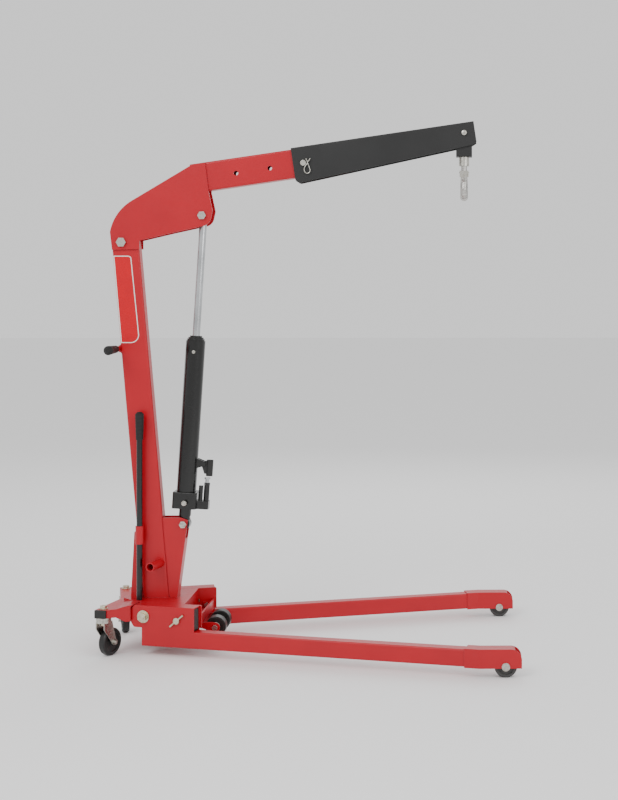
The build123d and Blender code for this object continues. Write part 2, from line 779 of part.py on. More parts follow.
def make_transport_rollers():
    """The pair of rollers under the front of the base, on their own bracket."""
    half = ROLLER_ARM_Y + ROLLER_ARM
    reach = SIDE_PLATE_OUT - PLATE
    rear = (TAB_ALONG - TAB_WIDTH / 2, TAB_ALONG + TAB_WIDTH / 2)
    left, right = SIDES.values()
    with BuildPart() as bracket:
        with BuildSketch(Plane.XY.offset(CAP_BOTTOM - 4)):
            with BuildLine():
                Polyline(leg_point(left, rear[0], reach), leg_point(left, rear[1], reach),
                         leg_point(right, rear[1], reach), leg_point(right, rear[0], reach), close=True)
            make_face()
        extrude(amount=4)
        for side in SIDES.values():
            with BuildSketch(across_leg(side, TAB_ALONG, reach - 4, CAP_BOTTOM + 12)):
                Rectangle(32, TAB_WIDTH)
            extrude(amount=4)
            with BuildSketch(across_leg(side, TAB_ALONG, reach - 4, TAB_BOLT_Z)):
                Circle(TAB_BOLT_R)
            extrude(amount=4, mode=Mode.SUBTRACT)
            with BuildSketch(Plane.XZ.offset(-side * (ROLLER_ARM_Y + ROLLER_ARM / 2))):
                with BuildLine():
                    Polyline((-432, CAP_BOTTOM), (-432, CAP_BOTTOM - 14), (-362.2, ROLLER_Z - 12))
                    ThreePointArc((-362.2, ROLLER_Z - 12), (-332.5, ROLLER_Z - 7), (-343.5, ROLLER_Z + 16.6))
                    Polyline((-343.5, ROLLER_Z + 16.6), (-360, CAP_BOTTOM), (-432, CAP_BOTTOM))
                make_face()
                with Locations((ROLLER_X, ROLLER_Z)):
                    Circle(ROLLER_AXLE_R, mode=Mode.SUBTRACT)
            extrude(amount=ROLLER_ARM / 2, both=True)
    keep(bracket.part, "roller_bracket")
    start = crosswise(ROLLER_X, -half, ROLLER_Z)
    spacers = [
        ring(start.offset(half - ROLLER_INNER + SIDE_GAP), 12, ROLLER_AXLE_R, 2 * (ROLLER_INNER - SIDE_GAP)),
        ring(start.offset(ROLLER_ARM), 12, ROLLER_AXLE_R, ROLLER_ARM_Y - ROLLER_OUTER - SIDE_GAP),
        ring(start.offset(half + ROLLER_OUTER + SIDE_GAP), 12, ROLLER_AXLE_R, ROLLER_ARM_Y - ROLLER_OUTER - SIDE_GAP),
    ]
    group([*bolt_and_nut(start, ROLLER_AXLE_R, 2 * half, 19, 8, 9), *spacers], "roller_axle")
    screws = [bolt(across_leg(side, TAB_ALONG, reach - 4, TAB_BOLT_Z), TAB_BOLT_R, 4 + PLATE, 18, 7, 0)
              for side in SIDES.values()]
    group(screws, "roller_bracket_bolts")
    for name, side in SIDES.items():
        middle = side * (ROLLER_INNER + ROLLER_OUTER) / 2
        rim = Plane(origin=(ROLLER_X, middle, ROLLER_Z), x_dir=(0, 1, 0), z_dir=(1, 0, 0))
        width = ROLLER_OUTER - ROLLER_INNER
        keep(wheel(rim, ROLLER_R, width, width, 14, 29, ROLLER_AXLE_R + RUNNING, 3), f"transport_roller_{name}")


# ---------------------------------------------------------------- legs

def make_leg(side):
    """A leg: a long box tube, with a tall hollow cap over its pivot that turns with it."""
    inside = LEG_WIDTH / 2 - LEG_WALL
    rear = math.sqrt(CAP_SWING ** 2 - (CAP_TOP - PIVOT_Z) ** 2)
    end = leg_point(side, LEG_REAR, 0)
    square = Plane(
        origin=(*end, (LEG_BOTTOM + LEG_TOP) / 2),
        x_dir=(-splay_sin(), side * splay_cos(), 0),
        z_dir=(splay_cos(), side * splay_sin(), 0),
    )
    height = LEG_TOP - LEG_BOTTOM
    with BuildPart() as leg:
        with BuildSketch(square):
            RectangleRounded(LEG_WIDTH, height, LEG_CORNER)
        extrude(amount=LEG_LENGTH - LEG_REAR)
        with BuildSketch(leg_plane(side)):
            with BuildLine():
                Polyline((-rear, CAP_TOP), (CAP_FRONT, CAP_TOP), (CAP_FRONT, LEG_TOP - LEG_CORNER),
                         (LEG_REAR, LEG_TOP - LEG_CORNER), (LEG_REAR, CAP_BOTTOM), (-rear, CAP_BOTTOM))
                ThreePointArc((-rear, CAP_BOTTOM), (-CAP_SWING, PIVOT_Z), (-rear, CAP_TOP))
            make_face()
        extrude(amount=LEG_WIDTH / 2, both=True)
        with BuildSketch(square.offset(LEG_WALL)):
            RectangleRounded(LEG_WIDTH - 2 * LEG_WALL, height - 2 * LEG_WALL, LEG_CORNER - LEG_WALL)
        extrude(amount=LEG_LENGTH, mode=Mode.SUBTRACT)
        with BuildSketch(leg_plane(side)):
            with BuildLine():
                Polyline((-2 * CAP_SWING, LEG_TOP), (-2 * CAP_SWING, CAP_TOP - LEG_WALL),
                         (CAP_FRONT + 1, CAP_TOP - LEG_WALL), (CAP_FRONT + 1, LEG_TOP), close=True)
            make_face()
        extrude(amount=inside, both=True, mode=Mode.SUBTRACT)
        with BuildSketch(leg_plane(side)):
            with Locations((0, PIVOT_Z)):
                Circle(PIVOT_BOLT_R + RUNNING)
            with Locations((LOCK_ALONG, LOCK_Z)):
                Circle(LOCK_PIN_R + RUNNING)
        extrude(amount=LEG_WIDTH, both=True, mode=Mode.SUBTRACT)
    return leg.part


def bracket_plan(side, half, reach):
    """The plan of a front bracket: along the leg and then straight ahead, with its ends drawn out by a reach."""
    turn = (TIP_Y - PIVOT_Y) / splay_sin()
    shift = half * math.tan(math.radians(SPLAY / 2))
    return [
        leg_point(side, BRACKET_REAR - reach, half),
        leg_point(side, turn + shift, half),
        (TIP_X + reach, side * (TIP_Y + half)),
        (TIP_X + reach, side * (TIP_Y - half)),
        leg_point(side, turn - shift, -half),
        leg_point(side, BRACKET_REAR - reach, -half),
    ]


def make_front_bracket(side):
    """The bent sheet channel over a leg's tip that holds its wheel."""
    inner = LEG_WIDTH / 2 + BRACKET_GAP
    top = LEG_TOP + BRACKET_GAP
    with BuildPart() as bracket:
        with BuildSketch(Plane.XY.offset(BRACKET_BOTTOM)):
            with BuildLine():
                Polyline(*bracket_plan(side, inner + BRACKET_SHEET, 0), close=True)
            make_face()
        extrude(amount=top + BRACKET_SHEET - BRACKET_BOTTOM)
        with BuildSketch(Plane.XY.offset(BRACKET_BOTTOM)):
            with BuildLine():
                Polyline(*bracket_plan(side, inner, 5), close=True)
            make_face()
        extrude(amount=top - BRACKET_BOTTOM, mode=Mode.SUBTRACT)
        with BuildSketch(Plane.XZ):
            with BuildLine():
                Polyline((TIP_X, top + BRACKET_SHEET - BRACKET_CORNER), (TIP_X, 0), (0, 0), (0, 2 * top),
                         (TIP_X - BRACKET_CORNER, 2 * top), (TIP_X - BRACKET_CORNER, top + BRACKET_SHEET))
                RadiusArc((TIP_X - BRACKET_CORNER, top + BRACKET_SHEET),
                          (TIP_X, top + BRACKET_SHEET - BRACKET_CORNER), BRACKET_CORNER)
            make_face()
        extrude(amount=TIP_X, both=True, mode=Mode.INTERSECT)
        with BuildSketch(Plane.XZ):
            with Locations((FRONT_AXLE_X, FRONT_WHEEL_R)):
                Circle(FRONT_AXLE_R)
        extrude(amount=TIP_X, both=True, mode=Mode.SUBTRACT)
    return bracket.part


def make_front_axle(side):
    """The riveted axle of a front wheel, with round heads and a spacer each side of the wheel."""
    half = LEG_WIDTH / 2 + BRACKET_GAP
    outer = half + BRACKET_SHEET
    start = crosswise(FRONT_AXLE_X, side * (TIP_Y - outer), FRONT_WHEEL_R, side)
    with BuildPart() as axle:
        with BuildSketch(start):
            Circle(FRONT_AXLE_R)
        extrude(amount=2 * outer)
        for face in (start.offset(-AXLE_HEAD), start.offset(2 * outer)):
            with BuildSketch(face):
                Circle(AXLE_HEAD_R)
            extrude(amount=AXLE_HEAD)
        ends = axle.faces().sort_by(Axis(start.origin, start.z_dir))
        fillet([*ends[0].edges(), *ends[-1].edges()], 1.5)
    gap = half - FRONT_WHEEL_WIDTH / 2 - SIDE_GAP
    return [
        axle.part,
        ring(start.offset(BRACKET_SHEET), 15, FRONT_AXLE_R, gap),
        ring(start.offset(2 * outer - BRACKET_SHEET - gap), 15, FRONT_AXLE_R, gap),
    ]


def make_lock_pin(side):
    """The pin that locks a leg down, with the bar that it is pulled by."""
    face = across_leg(side, LOCK_ALONG, LEG_WIDTH / 2 + SIDE_GAP, LOCK_Z)
    with BuildPart() as pin:
        with BuildSketch(face):
            Circle(LOCK_HEAD_R)
        extrude(amount=LOCK_HEAD)
        chamfer(pin.faces().sort_by(Axis(face.origin, face.z_dir))[-1].edges(), 1.5)
        with BuildSketch(face):
            Circle(LOCK_PIN_R)
        extrude(amount=-LEG_WIDTH)
    tilt = math.radians(40)
    ahead = (splay_cos() * math.cos(tilt), side * splay_sin() * math.cos(tilt), math.sin(tilt))
    middle = face.offset(LOCK_HEAD / 2).origin
    start = middle - Vector(*ahead) * T_BAR / 2
    bar = rod(Plane(origin=start, z_dir=ahead), T_BAR_R, T_BAR)
    with BuildPart() as whole:
        add(pin.part)
        add(bar)
    return whole.part


def make_legs():
    for name, side in SIDES.items():
        keep(make_leg(side), f"leg_tube_{name}")
        keep(make_front_bracket(side), f"front_bracket_{name}")
        group(make_front_axle(side), f"front_axle_{name}")
        keep(make_lock_pin(side), f"lock_pin_{name}")
        rim = Plane(origin=(FRONT_AXLE_X, side * TIP_Y, FRONT_WHEEL_R), x_dir=(0, 1, 0), z_dir=(1, 0, 0))
        tyre = wheel(rim, FRONT_WHEEL_R, FRONT_WHEEL_WIDTH, FRONT_WHEEL_WIDTH, 15, 30, FRONT_AXLE_R + RUNNING, 3)
        keep(tyre, f"front_wheel_{name}")


# ---------------------------------------------------------------- boom

def cheek_outline():
    """The outline of the plates that carry the boom, with a round corner about the ram's upper pin."""
    with BuildSketch() as outline:
        with BuildLine():
            Polyline((-749.2, 1555.5), (-741.3, 1489), (-639.5, 1492), (-639.5, 1523.8), (-524.8, 1551.2),
                     (-377, 1584), (-366, 1636), (-380.8, 1706.3), (-394.2, 1816.5), (-442.5, 1808.9),
                     (-664.2, 1675.6))
            ThreePointArc((-664.2, 1675.6), (-717.4, 1628.6), (-749.2, 1555.5))
        make_face()
        fillet(outline.vertices().sort_by_distance((-377, 1584, 0))[0], 38)
    return outline.sketch


def make_cheek(side):
    """A side plate of the boom's root, from the boom pivot to the ram's upper pin."""
    with BuildPart() as cheek:
        with BuildSketch(Plane.XZ.offset(-side * (CHEEK_IN + CHEEK / 2))):
            add(cheek_outline())
            with Locations((BOOM_PIVOT_X, BOOM_PIVOT_Z)):
                Circle(BOOM_BOLT_R, mode=Mode.SUBTRACT)
            with Locations((RAM_TOP_X, RAM_TOP_Z)):
                Circle(RAM_STUB_R, mode=Mode.SUBTRACT)
        extrude(amount=CHEEK / 2, both=True)
    return cheek.part


def make_boom_web():
    """The strip between the cheeks, bent along their top and rear edges, behind the boom tube."""
    with BuildPart() as web:
        with BuildSketch(Plane.XZ):
            add(cheek_outline())
            offset(amount=-WEB, mode=Mode.SUBTRACT)
            with BuildLine():
                Polyline((-456, 1900), (-456, 1740), (-600, 1640), (-700, WEB_FLOOR), (-800, WEB_FLOOR), (-800, 1900),
                         close=True)
            make_face(mode=Mode.INTERSECT)
        extrude(amount=CHEEK_IN, both=True)
    return web.part


def make_boom_tube():
    """The boom's box tube, with the row of holes that the extension is pinned through."""
    with BuildPart() as tube:
        with BuildSketch(boom_section(BOOM_REAR)):
            RectangleRounded(BOOM_WIDTH, BOOM_HEIGHT, 7)
            RectangleRounded(BOOM_WIDTH - 2 * BOOM_WALL, BOOM_HEIGHT - 2 * BOOM_WALL, 3, mode=Mode.SUBTRACT)
        extrude(amount=BOOM_FRONT - BOOM_REAR)
        with BuildSketch(boom_plane()):
            with Locations(*[(HOLE_FIRST + HOLE_PITCH * step, HOLE_DROP) for step in range(HOLES)]):
                Circle(HOLE_R)
        extrude(amount=BOOM_WIDTH, both=True, mode=Mode.SUBTRACT)
    return tube.part


def make_extension():
    """The channel that slides over the boom tube, deeper at its rear, with a hook bolt across its front."""
    with BuildPart() as channel:
        with BuildSketch(boom_plane()):
            with BuildLine():
                Polyline((EXT_REAR, EXT_TOP), (EXT_FRONT, EXT_TOP), (EXT_FRONT, -21), (EXT_FRONT - 18, -29),
                         (EXT_FRONT - 80, -34), (EXT_REAR + 15, -75))
                RadiusArc((EXT_REAR + 15, -75), (EXT_REAR, -55), 18)
                Line((EXT_REAR, -55), (EXT_REAR, EXT_TOP))
            make_face()
        extrude(amount=EXT_IN + EXT_SHEET, both=True)
        fillet(channel.edges().filter_by(lambda edge: boom_height(edge.center()) > EXT_TOP - 0.1)
               .filter_by(lambda edge: edge.length > BOOM_WIDTH * 2), 5)
        with BuildSketch(boom_plane()):
            with Locations(((EXT_REAR + EXT_FRONT) / 2, EXT_TOP - EXT_SHEET - BOOM_HEIGHT)):
                Rectangle(EXT_FRONT, 2 * BOOM_HEIGHT)
        extrude(amount=EXT_IN, both=True, mode=Mode.SUBTRACT)
        with BuildSketch(boom_plane()):
            with Locations((EXT_PIN, HOLE_DROP)):
                Circle(EXT_PIN_R + RUNNING)
            with Locations((HOOK_BOLT_U, HOOK_BOLT_V)):
                Circle(HOOK_BOLT_R)
        extrude(amount=BOOM_WIDTH, both=True, mode=Mode.SUBTRACT)
    return channel.part


def make_extension_pin():
    """The pin through the near wall of the extension, and the spring clip through its head."""
    wall = EXT_IN + EXT_SHEET
    face = boom_plane(wall + SIDE_GAP)
    at = face.from_local_coords((EXT_PIN, HOLE_DROP, 0))
    start = Plane(origin=at, x_dir=face.x_dir, z_dir=face.z_dir)
    with BuildPart() as pin:
        with BuildSketch(start):
            Circle(EXT_PIN_R)
        extrude(amount=-EXT_SHEET - 1.2)
        with BuildSketch(start):
            Circle(EXT_HEAD_R)
        extrude(amount=EXT_HEAD)
        chamfer(pin.faces().sort_by(Axis(start.origin, start.z_dir))[-1].edges(), 1.2)
        with BuildSketch(Plane(origin=start.offset(EXT_HEAD - 4).origin, x_dir=(0, 1, 0), z_dir=start.x_dir)):
            Circle(CLIP_WIRE + 0.2)
        extrude(amount=2 * EXT_HEAD_R, both=True, mode=Mode.SUBTRACT)
    keep(pin.part, "extension_pin")
    middle = start.offset(EXT_HEAD - 4)
    with BuildPart() as clip:
        with BuildLine(middle):
            Polyline((EXT_HEAD_R + 6, 0), (-EXT_HEAD_R - 4, 0))
            ThreePointArc((-EXT_HEAD_R - 4, 0), (-EXT_HEAD_R - 10, -6), (-EXT_HEAD_R - 4, -12))
            ThreePointArc((-EXT_HEAD_R - 4, -12), (0, -17), (EXT_HEAD_R + 4, -12))
        with BuildSketch(Plane(origin=middle.from_local_coords((EXT_HEAD_R + 6, 0, 0)), z_dir=-middle.x_dir)):
            Circle(CLIP_WIRE)
        sweep(transition=Transition.ROUND)
    keep(clip.part, "extension_clip")


def make_boom_bolts():
    """The boom's pivot bolt, and the two stub bolts that the ram's upper eye sits between."""
    outer = CHEEK_IN + CHEEK
    screws = bolt_and_nut(crosswise(BOOM_PIVOT_X, -outer, BOOM_PIVOT_Z), BOOM_BOLT_R, 2 * outer, 32, 12, 15)
    for side in SIDES.values():
        inward = crosswise(RAM_TOP_X, side * outer, RAM_TOP_Z, -side)
        screws.append(bolt(inward, RAM_STUB_R, CHEEK + 1, 28, 10, 0))
    return screws


def make_hook_block():
    """The strap that hangs from the hook bolt, with the hole that the hook's shank turns in."""
    left = HOOK_BOLT_X - BLOCK_WIDTH / 2
    right = HOOK_BOLT_X + BLOCK_WIDTH / 2
    with BuildPart() as block:
        with BuildSketch(Plane.XZ):
            with BuildLine():
                Polyline((left, HOOK_BOLT_Z), (left, BLOCK_BOTTOM), (right, BLOCK_BOTTOM), (right, HOOK_BOLT_Z))
                ThreePointArc((right, HOOK_BOLT_Z), (HOOK_BOLT_X, HOOK_BOLT_Z + BLOCK_WIDTH / 2), (left, HOOK_BOLT_Z))
            make_face()
        extrude(amount=BLOCK_OUT, both=True)
        fillet(block.edges().filter_by(Axis.X).group_by(Axis.Z)[0], 6)
        with BuildSketch(Plane.XZ):
            with Locations((HOOK_BOLT_X, BLOCK_BOTTOM + BLOCK_FLOOR + BLOCK_WIDTH)):
                Rectangle(2 * BLOCK_WIDTH, 2 * BLOCK_WIDTH)
        extrude(amount=BLOCK_OUT - BLOCK_SHEET, both=True, mode=Mode.SUBTRACT)
        with BuildSketch(Plane.XZ):
            with Locations((HOOK_BOLT_X, HOOK_BOLT_Z)):
                Circle(HOOK_BOLT_R + RUNNING)
        extrude(amount=BOOM_WIDTH, both=True, mode=Mode.SUBTRACT)
        with BuildSketch(upwards(HOOK_BOLT_X, 0, BLOCK_BOTTOM)):
            Circle(SHANK_R + RUNNING)
        extrude(amount=BLOCK_FLOOR, mode=Mode.SUBTRACT)
    return block.part


def hook_line():
    """The middle line of the hook: an S from its neck, then half a turn round its bowl, up to its point."""
    drop = NECK_Z - BOWL_Z
    turn = 2 * math.atan(BOWL_R / drop)
    bend = drop / 2 / math.sin(turn)
    aside = bend * (1 - math.cos(turn / 2))
    down = bend * math.sin(turn / 2)
    with BuildLine(Plane.YZ.offset(HOOK_BOLT_X)) as middle:
        ThreePointArc((0, NECK_Z), (aside, NECK_Z - down), (BOWL_R / 2, NECK_Z - drop / 2))
        ThreePointArc((BOWL_R / 2, NECK_Z - drop / 2), (BOWL_R - aside, BOWL_Z + down), (BOWL_R, BOWL_Z))
        ThreePointArc((BOWL_R, BOWL_Z), (0, BOWL_Z - BOWL_R), (-BOWL_R, BOWL_Z))
        Line((-BOWL_R, BOWL_Z), (-BOWL_R, TIP_Z))
    return middle.wires()[0]


def make_hook():
    """The swivelling hook: a forged bowl on a shank, with a nut above the block and a pin for its latch."""
    middle = hook_line()
    sections = []
    for place, half_x, half_r in HOOK_SECTIONS:
        with BuildSketch(Plane(origin=middle @ place, x_dir=(1, 0, 0), z_dir=middle % place)) as section:
            Ellipse(half_x, half_r)
        sections.append(section.sketch)
    with BuildPart() as hook:
        sweep(sections=sections, path=middle, multisection=True)
        with BuildSketch(upwards(HOOK_BOLT_X, 0, NECK_Z)):
            Circle(SHANK_R)
        extrude(amount=BLOCK_BOTTOM + BLOCK_FLOOR + SIDE_GAP - NECK_Z)
        with BuildSketch(upwards(HOOK_BOLT_X, 0, BLOCK_BOTTOM + BLOCK_FLOOR + SIDE_GAP)):
            RegularPolygon(18, 6)
        extrude(amount=12)
        with BuildSketch(Plane.YZ.offset(HOOK_BOLT_X)):
            with Locations((LATCH_Y, LATCH_Z)):
                Circle(LATCH_PIN_R)
        extrude(amount=LATCH_OUT + 2, both=True)
    return hook.part


def make_latch():
    """The sprung latch across the hook's mouth: a strip with two ears on the latch pin."""
    with BuildPart() as latch:
        with BuildSketch(Plane.YZ.offset(HOOK_BOLT_X)):
            with BuildLine():
                Polyline((LATCH_Y, LATCH_Z + 5), (-15, 1779), (-18, 1740), (-20, 1740), (-17.5, 1781),
                         (-14, 1789), (LATCH_Y, LATCH_Z + 7), close=True)
            make_face()
            with BuildLine():
                Polyline((LATCH_Y + 5, LATCH_Z + 5), (LATCH_Y + 5, LATCH_Z - 5), (-16, 1764), (-17, 1764),
                         (-17, 1782), (-14, 1789), (LATCH_Y, LATCH_Z + 7), close=True)
            make_face()
        extrude(amount=LATCH_OUT, both=True)
        with BuildSketch(Plane.YZ.offset(HOOK_BOLT_X)):
            with BuildLine():
                Polyline((20, 1800), (20, 1700), (-14.5, 1700), (-15, 1779), (-12, 1786), (-12, 1800), close=True)
            make_face()
        extrude(amount=LATCH_OUT - 1.6, both=True, mode=Mode.SUBTRACT)
        with BuildSketch(Plane.YZ.offset(HOOK_BOLT_X)):
            with BuildLine():
                Polyline((-25, 1795), (-15.2, 1795), (-15.2, 1740), (-25, 1740), close=True)
            make_face()
            with Locations((LATCH_Y, LATCH_Z)):
                Circle(LATCH_PIN_R + RUNNING)
        extrude(amount=LATCH_OUT + 2, both=True, mode=Mode.SUBTRACT)
    return latch.part


def make_boom():
    for name, side in SIDES.items():
        keep(make_cheek(side), f"boom_cheek_{name}")
    keep(make_boom_web(), "boom_web")
    keep(make_boom_tube(), "boom_tube")
    group(make_boom_bolts(), "boom_bolts")
    keep(make_extension(), "boom_extension")
    make_extension_pin()
    reach = EXT_IN + EXT_SHEET
    group(bolt_and_nut(crosswise(HOOK_BOLT_X, -reach, HOOK_BOLT_Z), HOOK_BOLT_R, 2 * reach, 24, 10, 12), "hook_bolt")
    keep(make_hook_block(), "hook_block")
    height = BLOCK_BOTTOM - SIDE_GAP - COLLAR_BOTTOM
    keep(ring(upwards(HOOK_BOLT_X, 0, COLLAR_BOTTOM), COLLAR_R, SHANK_R, height), "hook_collar")
    keep(make_hook(), "hook")
    keep(make_latch(), "hook_latch")


# ---------------------------------------------------------------- ram

def make_lower_eye():
    """The eye and neck below the pump block."""
    with BuildPart() as eye:
        with BuildSketch(ram_side_plane()):
            Circle(RAM_EYE_R)
        extrude(amount=RAM_EYE_WIDTH / 2, both=True)
        with BuildSketch(ram_plane()):
            Circle(RAM_EYE_WIDTH / 2)
        extrude(amount=NECK_D)
        with BuildSketch(ram_plane(NECK_D)):
            Circle(RAM_EYE_WIDTH / 2 + 2.5)
        extrude(amount=BLOCK_LOW - NECK_D)
        with BuildSketch(ram_side_plane()):
            Circle(RAM_BOLT_R + RUNNING)
        extrude(amount=RAM_EYE_WIDTH, both=True, mode=Mode.SUBTRACT)
    return eye.part


def make_pump_block():
    """The cast pump block, with the barrels of the pump and of its relief valve in front."""
    with BuildPart() as block:
        with BuildSketch(ram_plane(BLOCK_LOW)):
            RectangleRounded(90, 84, 12)
        extrude(amount=BLOCK_HIGH - BLOCK_LOW)
        with BuildSketch(ram_plane(BLOCK_LOW)):
            with Locations((60, 0)):
                RectangleRounded(56, 44, 8)
        extrude(amount=30)
        fillet(block.faces().sort_by(Axis(ram_plane().origin, ram_plane().z_dir))[-1].edges(), 4)
        with BuildSketch(ram_plane(BLOCK_LOW + 30)):
            with Locations((BARREL_X, 0)):
                Circle(10.5)
            with Locations((56, -11)):
                Circle(8)
        extrude(amount=BARREL_TOP - BLOCK_LOW - 40)
        with BuildSketch(ram_plane(BARREL_TOP - 10)):
            with Locations((BARREL_X, 0)):
                RegularPolygon(11, 6)
        extrude(amount=10)
        with BuildSketch(ram_plane(BLOCK_LOW + 24)):
            with Locations((BARREL_X, 0)):
                Circle(PLUNGER_R + RUNNING)
        extrude(amount=BARREL_TOP, mode=Mode.SUBTRACT)
        with BuildSketch(Plane.XZ.offset(BLOCK_SIDE)):
            with Locations(valve_place()):
                Circle(VALVE_STEM_R + RUNNING)
        extrude(amount=-14, mode=Mode.SUBTRACT)
    return block.part


def make_cylinder():
    """The ram's cylinder, with the two ears that the pump lever turns between."""
    with BuildPart() as cylinder:
        with BuildSketch(ram_plane(BLOCK_HIGH)):
            Circle(CYLINDER_R)
        extrude(amount=CYLINDER_TOP - BLOCK_HIGH)
        with BuildSketch(ram_side_plane()):
            with BuildLine():
                Polyline((LEVER_X, LEVER_D + 10), (30, LEVER_D + 20), (30, LEVER_D - 20), (LEVER_X, LEVER_D - 10))
                ThreePointArc((LEVER_X, LEVER_D - 10), (LEVER_X + 10, LEVER_D), (LEVER_X, LEVER_D + 10))
            make_face()
        extrude(amount=EAR_OUT, both=True)
        with BuildSketch(ram_side_plane()):
            with Locations((CYLINDER_R + 30, LEVER_D)):
                Rectangle(58, 60)
        extrude(amount=EAR_IN, both=True, mode=Mode.SUBTRACT)
        with BuildSketch(ram_side_plane()):
            with Locations((LEVER_X, LEVER_D)):
                Circle(LEVER_PIN_R + RUNNING)
        extrude(amount=EAR_OUT, both=True, mode=Mode.SUBTRACT)
        with BuildSketch(ram_plane(BLOCK_HIGH)):
            Circle(BORE_R)
        extrude(amount=CYLINDER_TOP - BLOCK_HIGH, mode=Mode.SUBTRACT)
    return cylinder.part


def make_gland():
    """The stepped cap that closes the cylinder round its rod."""
    with BuildPart() as gland:
        for low, high, radius in ((0, 7, 33), (7, 13, 29), (13, 19, 23)):
            with BuildSketch(ram_plane(CYLINDER_TOP + low)):
                Circle(radius)
                Circle(ROD_R + RUNNING, mode=Mode.SUBTRACT)
            extrude(amount=high - low)
    return gland.part


def make_piston_rod():
    """The piston, its rod and the eye at the rod's upper end."""
    length = ram_axis()[2]
    with BuildPart() as piston:
        with BuildSketch(ram_plane(PISTON_LOW)):
            Circle(BORE_R - RUNNING)
        extrude(amount=PISTON)
        with BuildSketch(ram_plane(PISTON_LOW)):
            Circle(ROD_R)
        extrude(amount=length - PISTON_LOW)
        eye = ram_side_plane()
        with BuildSketch(eye):
            with Locations((0, length)):
                Circle(ROD_EYE_R)
        extrude(amount=ROD_R, both=True)
        with BuildSketch(eye):
            with Locations((0, length)):
                Circle(RAM_STUB_R + 0.5)
        extrude(amount=ROD_EYE_R, both=True, mode=Mode.SUBTRACT)
    return piston.part


def make_plunger():
    """The pump's plunger, with the button that the lever presses."""
    with BuildPart() as plunger:
        with BuildSketch(ram_plane(BLOCK_LOW + 38)):
            with Locations((BARREL_X, 0)):
                Circle(PLUNGER_R)
        extrude(amount=PLUNGER_TOP - BLOCK_LOW - 38)
        with BuildSketch(ram_plane(PLUNGER_TOP - 6)):
            with Locations((BARREL_X, 0)):
                Circle(PLUNGER_R + 4)
        extrude(amount=6)
    return plunger.part


def make_lever():
    """The lever's socket, which takes the pump handle, and the pin that it turns on."""
    with BuildPart() as lever:
        with BuildSketch(ram_plane(LEVER_LOW)):
            with Locations((SOCKET_X, 0)):
                Circle(SOCKET_R)
        extrude(amount=LEVER_HIGH - LEVER_LOW)
        with BuildSketch(ram_side_plane()):
            with BuildLine():
                Polyline((LEVER_X, LEVER_D + 9), (SOCKET_X, LEVER_D + 12), (SOCKET_X, LEVER_LOW + 8),
                         (LEVER_X + 6, LEVER_LOW + 8), (LEVER_X - 6, LEVER_D - 7))
                ThreePointArc((LEVER_X - 6, LEVER_D - 7), (LEVER_X - 9, LEVER_D), (LEVER_X, LEVER_D + 9))
            make_face()
        extrude(amount=EAR_IN - 0.5, both=True)
        with BuildSketch(ram_plane(LEVER_LOW + 12)):
            with Locations((SOCKET_X, 0)):
                Circle(SOCKET_BORE)
        extrude(amount=LEVER_HIGH, mode=Mode.SUBTRACT)
        with BuildSketch(ram_side_plane()):
            with Locations((LEVER_X, LEVER_D)):
                Circle(LEVER_PIN_R)
        extrude(amount=EAR_IN, both=True, mode=Mode.SUBTRACT)
    face = ram_side_plane(EAR_OUT + SIDE_GAP)
    start = Plane(origin=face.from_local_coords((LEVER_X, LEVER_D, 0)), x_dir=face.x_dir, z_dir=face.z_dir)
    length = 2 * (EAR_OUT + SIDE_GAP)
    with BuildPart() as pin:
        with BuildSketch(start):
            Circle(LEVER_PIN_R)
        extrude(amount=length)
        for place in (start.offset(-2), start.offset(length)):
            with BuildSketch(place):
                Circle(LEVER_PIN_R + 2.5)
            extrude(amount=2)
    return [lever.part, pin.part]


def valve_place():
    """Where the release valve stands, in X and Z."""
    rx, rz, _ = ram_axis()
    return (RAM_X + rx * VALVE_D + rz * VALVE_X, RAM_Z + rz * VALVE_D - rx * VALVE_X)


def make_release_valve():
    """The release valve's knob on the near side of the pump block, and its stem."""
    x, z = valve_place()
    start = crosswise(x, -BLOCK_SIDE - SIDE_GAP, z, -1)
    with BuildPart() as valve:
        with BuildSketch(start):
            Circle(6.5)
        extrude(amount=6)
        with BuildSketch(start.offset(6)):
            Circle(VALVE_R)
            with PolarLocations(VALVE_R + 1.5, 8):
                Circle(2.6, mode=Mode.SUBTRACT)
        extrude(amount=12)
        chamfer(valve.faces().sort_by(Axis.Y)[0].edges(), 1.0)
        with BuildSketch(start):
            Circle(VALVE_STEM_R)
        extrude(amount=-12)
    return valve.part


def make_ram():
    keep(make_lower_eye(), "ram_lower_eye")
    keep(make_pump_block(), "pump_block")
    keep(make_cylinder(), "ram_cylinder")
    keep(make_gland(), "ram_gland")
    keep(make_piston_rod(), "piston_rod")
    keep(make_plunger(), "pump_plunger")
    group(make_lever(), "pump_lever")
    keep(make_release_valve(), "release_valve")


make_base()
make_upright()
make_casters()
make_transport_rollers()
make_legs()
make_boom()
make_ram()
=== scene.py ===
import json
import math

import bmesh
import bpy
from mathutils import Matrix, Vector


